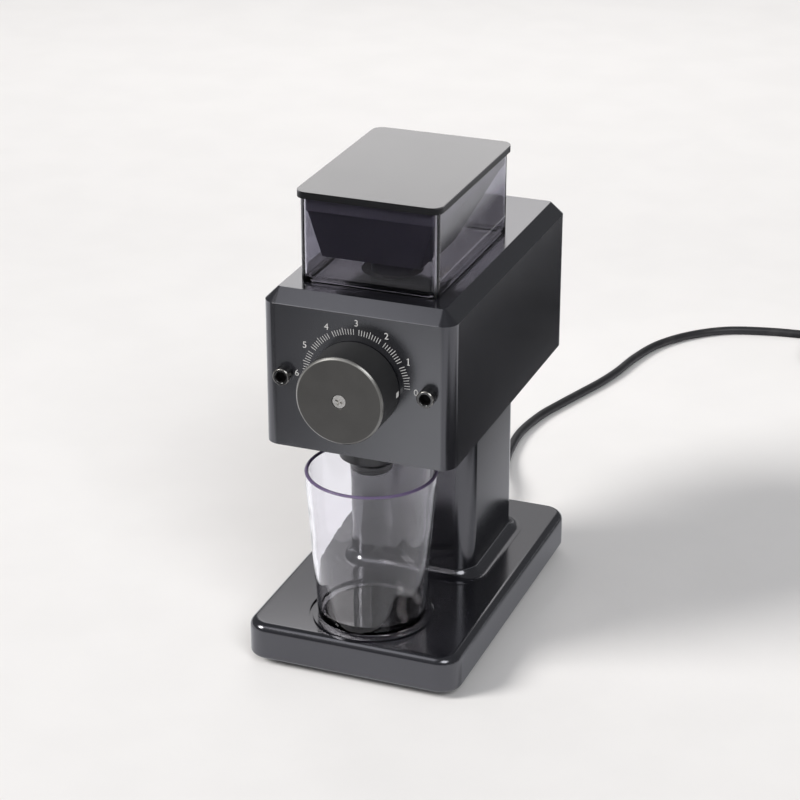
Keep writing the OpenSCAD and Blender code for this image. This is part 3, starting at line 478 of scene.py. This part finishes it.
def clearFinish(name, node, tint, ior, rough=0.02, smear=0.08, paintedHighlightCorners=False, paintedLightLip=False):
    finish = Finish(name, Transmission_Weight=1.0, IOR=ior)
    scratch = finish.grain(*clear["scratch"], clear["scratchStretch"])
    marks = finish.grain(*clear["rub"]).ramp(*clear["rubbed"])
    tone = finish.blend(marks * clear["rubShare"], tint, shade(tint, clear["rubShade"]))
    gloss = rough + smear * marks * clear["rubHaze"] + clear["scratchHaze"] * scratch
    # corners painted lighter: a painted highlight along the rounded corners, also hazier
    if paintedHighlightCorners:
        x, y = finish.insets(node)[:2]
        cornerHighlight = x.most(y).within(*clear["cornerHighlightTo"])
        tone = finish.blend(cornerHighlight * clear["cornerHighlightShare"], tone, clear["cornerHighlight"])
        gloss = gloss + clear["cornerHaze"] * cornerHighlight
    wave = finish.grain(*clear["wave"])
    finish.feed(Base_Color=tone, Roughness=gloss, Normal=finish.dents(wave, *clear["waveDent"]))
    # the lip is painted an opaque lilac: painted light for the tint the glass edge shows
    if paintedLightLip:  # the edge of the mouth shows the wall's tint
        finish.cover(finish.under(node).within(*clear["lipTo"]),
                     Base_Color=finish.blend(marks, clear["paintedLipDarker"], clear["paintedLipLighter"]),
                     Roughness=clear["lipRough"] + clear["lipRubRough"] * marks, IOR=clear["lipIor"])
    return finish.material


# turned knob: fine lathe rings on the face, bright front edge that is partly bare metal and partly a
# painted highlight, dark side (depths in mm behind the face)
knob = {
    "specular": 0.5, "drift": (12, 3), "driftRough": 0.06, "rough": 0.24,
    "faceTo": (0.3, 0.8), "faceDarker": rgb(54, 53, 51), "faceLighter": rgb(58, 57, 55), "faceRough": 0.2,
    "faceRings": (16000, 2, 6), "ringRough": 0.08, "ringDent": (0.10, 0.03),
    "edgeTo": (0.8, 1.8), "edgeFrom": (0.94, 0.96), "brightEdgeAndHighlight": rgb(120, 119, 116), "edgeMetal": 0.6,
    "bevelColour": shade(rgb(26, 26, 28), 0.8),
    "sideFrom": (1.8, 2.4), "sideDarker": rgb(17, 17, 18), "sideLighter": rgb(24, 24, 25),
    "sideRings": (9000, 1, 4), "sideRough": 0.6, "sideRingRough": 0.06, "sideIor": 1.65,
}


def knobFinish():
    finish = Finish("dialTurned", Specular_IOR_Level=knob["specular"])
    x, y, z = finish.axes()
    radius, depth = radial(x, z - dialHeight), y - dialLow[1]
    rings, drift = finish.rings(radius, *knob["faceRings"]), finish.grain(*knob["drift"])
    face = depth.within(*knob["faceTo"])
    edge = depth.within(*knob["edgeTo"]) * (radius / dialRadius).ramp(*knob["edgeFrom"])
    faceTone = finish.mottle(drift, knob["faceDarker"], knob["faceLighter"])
    tone = finish.blend(face, knob["bevelColour"], faceTone)
    gloss = knob["rough"] + knob["faceRough"] * face
    # the front edge's bright metal colour is partly a painted highlight
    finish.feed(Base_Color=finish.blend(edge, tone, knob["brightEdgeAndHighlight"]), Metallic=edge * knob["edgeMetal"],
                Roughness=gloss + rings.sway(knob["ringRough"]) + drift.sway(knob["driftRough"]),
                Normal=finish.dents(rings * face, *knob["ringDent"]))
    turned = finish.rings(y, *knob["sideRings"])
    finish.cover(depth.past(*knob["sideFrom"]), IOR=knob["sideIor"],
                 Base_Color=finish.blend(turned, knob["sideDarker"], knob["sideLighter"]),
                 Roughness=knob["sideRough"] + turned.sway(knob["sideRingRough"]))
    return finish.material


# lead's jacket: soft skin, scuffed lighter in places
jacket = {"specular": 0.4, "rough": 0.45, "darker": rgb(34, 34, 36), "lighter": rgb(50, 49, 50),
          "skin": (0.6, 3), "skinDent": (0.2, 0.05),
          "scuff": (12, 4), "scuffed": (0.45, 0.7), "scuffRough": 0.14}


def jacketFinish():
    finish = Finish("leadJacket", Specular_IOR_Level=jacket["specular"])
    skin, scuff = finish.grain(*jacket["skin"]), finish.grain(*jacket["scuff"])
    tone = finish.blend(scuff.ramp(*jacket["scuffed"]), jacket["darker"], jacket["lighter"])
    finish.feed(Base_Color=tone, Roughness=jacket["rough"] + scuff.sway(jacket["scuffRough"]),
                Normal=finish.dents(skin, *jacket["skinDent"]))
    return finish.material


finishes = {
    "base_plate": coatFinish("baseCoat", "base_plate"),
    "column": coatFinish("columnCoat", "column"),
    "head_shell": coatFinish("headCoat", "head_shell", withPanel=True),
    "rear_cover": coatFinish("rearCoverCoat", "rear_cover"),
    "bottom_cover": coatFinish("bottomCoat", "bottom_cover", rough=0.45),
    "lid": lidFinish(),
    "hopper": clearFinish("smokyWall", "hopper", (0.46, 0.45, 0.49), 1.38, paintedHighlightCorners=True),
    "hopper_funnel": funnelFinish(),
    "lid_seal": rubberFinish("sealRubber", rgb(120, 117, 124), 0.5),
    "cup": clearFinish("cupClear", "cup", (0.975, 0.965, 0.985), 1.4, 0.006, 0.012, paintedLightLip=True),
    "chute": plasticFinish("spoutPlastic", rgb(25, 25, 27), 0.28, speckSize=0.6, depth=0.03, ior=1.6),
    "throat_seal": rubberFinish("throatRubber", rgb(70, 68, 70)),
    "rubber_feet": rubberFinish("feetRubber", rgb(30, 30, 31), 0.7),
    "strain_relief": rubberFinish("reliefRubber", rgb(33, 33, 35), 0.5),
    "cord_tie": rubberFinish("tieRubber", rgb(42, 42, 44), 0.62),
    "plug_body": plasticFinish("plugPlastic", rgb(32, 32, 34), 0.4),
    "plug_blades": metalFinish("bladeBrass", rgb(205, 190, 150), 0.25, axis=0),
    "switch_housing": plasticFinish("switchFrame", rgb(36, 36, 38), 0.4),
    "switch_rocker": plasticFinish("switchRocker", rgb(28, 28, 30), 0.3),
    "burr_carrier": metalFinish("carrierSteel", rgb(150, 150, 152)),
    "grind_chamber": plasticFinish("castGrey", rgb(120, 122, 125), 0.5, speckSize=1.2, depth=0.15),
    "power_board": plasticFinish("boardGreen", rgb(30, 84, 52), 0.35),
    "windings": metalFinish("copperWire", rgb(200, 118, 70), 0.35, axis=0, streak=1.0),
    "spindle_bush": metalFinish("bushBrass", rgb(200, 165, 90)),
    "cooling_fan": plasticFinish("fanPlastic", rgb(40, 40, 42)),
    "dial_knob": knobFinish(),
    "dial_screw": metalFinish("zincPlate", rgb(205, 203, 198), 0.3, streak=0.8, stain=0.3,
                              middle=(0, dialHeight)),
    "cap_screws": capFinish(),
}
plainSteel = metalFinish("plainSteel", rgb(176, 176, 178))  # every piece that has no finish of its own
blackOxide = coatFinish("blackOxide", colour=rgb(16, 16, 17), rough=0.2)
motorSteel = metalFinish("motorSteel", rgb(120, 120, 124), 0.4)
for name in ("rear_screws", "cover_screws", "column_screws", "head_screws"):
    finishes[name] = blackOxide
for name in ("motor_can", "end_bell", "stator_core", "rotor_core"):
    finishes[name] = motorSteel
mainsLead.data.materials.append(jacketFinish())
mark("finishes mixed")

# soft edges that moulded, coated and turned pieces have, mm
edges = {
    "base_plate": 0.5, "column": 0.5, "head_shell": 0.6, "bottom_cover": 0.3, "rubber_feet": 0.4,
    "lid": 0.5, "lid_seal": 0.3, "hopper": 0.35, "hopper_funnel": 0.3, "chute": 0.3, "cup": 0.5,
    "dial_knob": 0.25, "cap_screws": 0.3, "rear_screws": 0.25, "switch_housing": 0.4, "switch_rocker": 0.4,
    "strain_relief": 0.2, "cord_tie": 0.3, "plug_body": 0.5, "plug_blades": 0.3,
}
softEdge = {"weld": 0.002, "steps": 3, "angle": 28}


def soften(piece, width):
    joinUp = piece.modifiers.new("joinUp", "WELD")
    joinUp.merge_threshold = softEdge["weld"] * mm
    edge = piece.modifiers.new("softEdge", "BEVEL")
    edge.width, edge.segments = width * mm, softEdge["steps"]
    edge.limit_method, edge.angle_limit = "ANGLE", radians(softEdge["angle"])
    edge.use_clamp_overlap = True
    edge.harden_normals = False
    even = piece.modifiers.new("evenShade", "WEIGHTED_NORMAL")
    even.keep_sharp = False


for name, piece in nodes.items():
    finish = finishes.get(name, plainSteel)
    if piece.material_slots:
        for slot in piece.material_slots:
            slot.material = finish
    else:
        piece.data.materials.append(finish)
    if name in edges:
        soften(piece, edges[name])
mark("solids finished")

# print and paint, worn thin in places
ink = {"specular": 0.4, "rough": 0.45, "thin": (0.7, 3), "worn": (0.35, 0.6),
       "wornShade": 0.72, "wornRough": 0.2}


def inkFinish(name, colour):
    finish = Finish(name, Specular_IOR_Level=ink["specular"])
    thin = finish.grain(*ink["thin"])
    finish.feed(Base_Color=finish.blend(thin.ramp(*ink["worn"]), shade(colour, ink["wornShade"]), colour),
                Roughness=ink["rough"] + thin.sway(ink["wornRough"]))
    return finish.material


# printed scale round the dial, mm and degrees from the right
scale = {
    "colour": rgb(205, 204, 202), "lift": 0.05, "rise": 1.0, "start": -0.8, "span": 180,
    "numbers": 6, "perNumber": 10, "inner": 28.5, "outer": 31.8, "longer": 32.6, "width": 0.34,
    "numberAt": 35.2, "numberSize": 5.4, "curveSteps": 6,
    "serifs": [((-0.75, -2.0), (0.85, -2.0), (0.85, -1.6), (-0.75, -1.6)),
               ((-0.95, 1.15), (-0.2, 1.55), (-0.2, 1.95), (-0.95, 1.5))],
}


def scaleOut(share):
    # direction from the dial's axis at a share of the scale
    angle = radians(scale["start"] + scale["span"] * share)
    return Vector((cos(angle), 0, sin(angle)))


def addTick(mesh, middle, out, reach):
    side = Vector((-out.z, 0, out.x)) * scale["width"] / 2 * mm
    near, far = middle + out * scale["inner"] * mm, middle + out * reach * mm
    corners = near - side, far - side, far + side, near + side
    mesh.faces.new([mesh.verts.new(corner) for corner in corners])


def addNumber(mesh, center, number):
    word = bpy.data.curves.new("scaleNumber", "FONT")
    word.body, word.size = str(number), scale["numberSize"] * mm
    word.align_x, word.align_y = "CENTER", "CENTER"
    word.resolution_u = scale["curveSteps"]
    holder = bpy.data.objects.new("scaleNumber", word)
    flat = holder.to_mesh()
    spots = [mesh.verts.new(center + Vector((v.co.x, 0, v.co.y))) for v in flat.vertices]
    for polygon in flat.polygons:
        mesh.faces.new([spots[i] for i in polygon.vertices])
    holder.to_mesh_clear()
    bpy.data.objects.remove(holder)
    bpy.data.curves.remove(word)
    if number == 1:  # foot and flag that the plain stroke lacks
        for corners in scale["serifs"]:
            mesh.faces.new([mesh.verts.new(center + Vector((x * mm, 0, z * mm))) for x, z in corners])


def makeScale():
    mesh = bmesh.new()
    middle = Vector((0, panelFace - scale["lift"] * mm, dialHeight + scale["rise"] * mm))
    count = scale["perNumber"] * scale["numbers"]
    for k in range(count):
        place = k % scale["perNumber"]
        if place:  # at 0 a number stands instead of a tick
            half = 2 * place == scale["perNumber"]
            addTick(mesh, middle, scaleOut(k / count), scale["longer"] if half else scale["outer"])
    for number in range(scale["numbers"] + 1):
        out = scaleOut(number / scale["numbers"])
        addNumber(mesh, middle + scale["numberAt"] * mm * out, number)
    for face in mesh.faces:
        face.normal_update()
        if face.normal.y > 0:
            face.normal_flip()
    data = bpy.data.meshes.new("dialScale")
    mesh.to_mesh(data)
    mesh.free()
    data.materials.append(inkFinish("scalePrint", scale["colour"]))
    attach(newObject("dialScale", data), "frame")


# white index mark on the knob's side, mm from the knob's back and degrees from the right
index = {"colour": rgb(235, 234, 230), "lift": 0.05, "from": -4.4, "to": -0.6,
         "turn": -1.5, "half": 3.4, "steps": 6}


def makeIndex():
    mesh = bmesh.new()
    radius, steps = dialRadius + index["lift"] * mm, index["steps"]
    angles = [radians(index["turn"] + index["half"] * (2 * k / steps - 1)) for k in range(steps + 1)]
    front, back = [[mesh.verts.new((radius * cos(a), dialHigh[1] + y * mm, radius * sin(a) + dialHeight))
                    for a in angles] for y in (index["from"], index["to"])]
    for k in range(steps):
        mesh.faces.new([front[k], front[k + 1], back[k + 1], back[k]])
    bmesh.ops.recalc_face_normals(mesh, faces=mesh.faces)
    for face in mesh.faces:
        if face.normal.x < 0:
            face.normal_flip()
    data = bpy.data.meshes.new("indexMark")
    mesh.to_mesh(data)
    mesh.free()
    data.materials.append(inkFinish("indexPaint", index["colour"]))
    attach(newObject("indexMark", data), "dial")


makeScale()
makeIndex()
mark("scale printed")

# studio floor: pale and matt; what gloss mirrors of it is painted: a brighter white, and patches of painted
# shade that darken what the faces mirror; each edge is where a patch fades, m
floor = {
    "half": 12, "cells": 8, "colour": rgb(236, 234, 232), "patchShade": 0.98, "specular": 0.08,
    "cloud": (60, 3), "rough": 0.6, "cloudRough": 0.1,
    "paintedBrightReflection": (0.97, 0.97, 1.0), "paintedShadeReflection": (0.04, 0.04, 0.042),
    "sideShadePatch": {"left": (0.06, 0.16), "right": (0.268, 0.292), "front": (0.06, 0.16)},
    "cornerShadePatch": {"left": (0.24, 0.28), "right": (0.45, 0.48),
                   "front": (-0.38, -0.33), "back": (0.14, 0.26)},
    "leftShadePatch": {"right": (-0.17, -0.085), "back": (-0.33, -0.25), "lean": 0.5, "leanFrom": -0.38},
    "nearShadePatch": {"back": (-0.67, -0.61)},
}


def floorFinish():
    finish = Finish("floorMatt", Specular_IOR_Level=floor["specular"])
    cloud = finish.grain(*floor["cloud"])
    tone = finish.mottle(cloud, shade(floor["colour"], floor["patchShade"]), floor["colour"])
    x, y = finish.axes()[:2]
    shadePatch = floor["sideShadePatch"]
    side = x.ramp(*shadePatch["left"]) * x.ramp(*shadePatch["right"], 1, 0) * y.ramp(*shadePatch["front"])
    shadePatch = floor["cornerShadePatch"]
    corner = (x.ramp(*shadePatch["left"]) * x.ramp(*shadePatch["right"], 1, 0)
              * y.ramp(*shadePatch["front"]) * y.ramp(*shadePatch["back"], 1, 0))
    shadePatch = floor["leftShadePatch"]
    leaning = x - shadePatch["lean"] * (y - shadePatch["leanFrom"])
    left = leaning.ramp(*shadePatch["right"], 1, 0) * y.ramp(*shadePatch["back"], 1, 0)
    near = y.ramp(*floor["nearShadePatch"]["back"], 1, 0)
    # painted reflection: glossy rays see the floor brighter, and dark in the patches of painted shade
    paintedReflection = finish.blend(side.most(corner).most(left).most(near), floor["paintedBrightReflection"], floor["paintedShadeReflection"])
    mirrored = finish.add("LightPath", out="Is Glossy Ray")
    finish.feed(Base_Color=finish.blend(mirrored, tone, paintedReflection),
                Roughness=floor["rough"] + cloud.sway(floor["cloudRough"]))
    return finish.material


def layFloor():
    mesh = bmesh.new()
    bmesh.ops.create_grid(mesh, x_segments=floor["cells"], y_segments=floor["cells"], size=floor["half"])
    data = bpy.data.meshes.new("studioFloor")
    mesh.to_mesh(data)
    mesh.free()
    data.materials.append(floorFinish())
    newObject("studioFloor", data)


# even broad light from two sides (its width in degrees), soft panels for the top, the lid and the front
broadLights = {
    "leftBroad": {"at": (-4.34, -3.48, 4.04), "aim": (0, 0, 0), "width": 21,
                  "power": 2.78, "colour": (1.0, 0.985, 0.97)},
    "rightBroad": {"at": (1.15, -1.30, 1.50), "aim": (0, 0, 0), "width": 30,
                   "power": 1.35, "colour": (0.97, 0.98, 1.0)},
}
panels = {
    "backPanel": {"at": (-0.45, 1.20, 0.72), "aim": (0, 0, 0.14), "size": (1.1, 0.75),
                  "power": 1.7, "colour": (1.0, 0.98, 0.98)},
    "lidPanel": {"at": (-0.15, 0.42, 0.44), "aim": (0, 0, 0.28), "size": (0.42, 0.20),
                 "power": 0.36, "colour": (1.0, 0.98, 0.98)},
    "frontTopPanel": {"at": (-0.37, -0.74, 1.14), "aim": (0, -0.09, 0.20), "size": (0.5, 0.5),
                      "power": 1.05, "colour": (0.95, 0.95, 1.0)},
}


def hangLight(name, kind, light):
    lamp = bpy.data.lights.new(name, kind)
    lamp.energy, lamp.color = light["power"], light["colour"]
    holder = newObject(name, lamp)
    holder.location = light["at"]
    holder.rotation_euler = (Vector(light["aim"]) - Vector(light["at"])).to_track_quat("-Z", "Y").to_euler()
    return holder


def hangLights():
    for name, light in broadLights.items():
        broad = hangLight(name, "SUN", light)
        broad.data.angle = radians(light["width"])
    for name, light in panels.items():
        panel = hangLight(name, "AREA", light)
        panel.data.shape = "RECTANGLE"
        panel.data.size, panel.data.size_y = light["size"]
        panel.visible_camera = False


# sky: dim light all round, and a pale backdrop where it is seen, also through the clear walls
skyLook = {"colour": (0.94, 0.96, 1.0), "level": 0.22,
           "backdrop": (1.0, 0.985, 0.97), "backdropLevel": 0.85}


def paintSky():
    sky = Sky("studioSky")
    seen = sky.add("LightPath", out="Is Camera Ray").most(sky.add("LightPath", out="Is Transmission Ray"))
    sky.feed(Color=sky.blend(seen, skyLook["colour"], skyLook["backdrop"]),
             Strength=seen.ramp(0, 1, skyLook["level"], skyLook["backdropLevel"]))
    scene.world = sky.material


layFloor()
hangLights()
paintSky()
mark("studio lit")

bpy.context.view_layer.update()
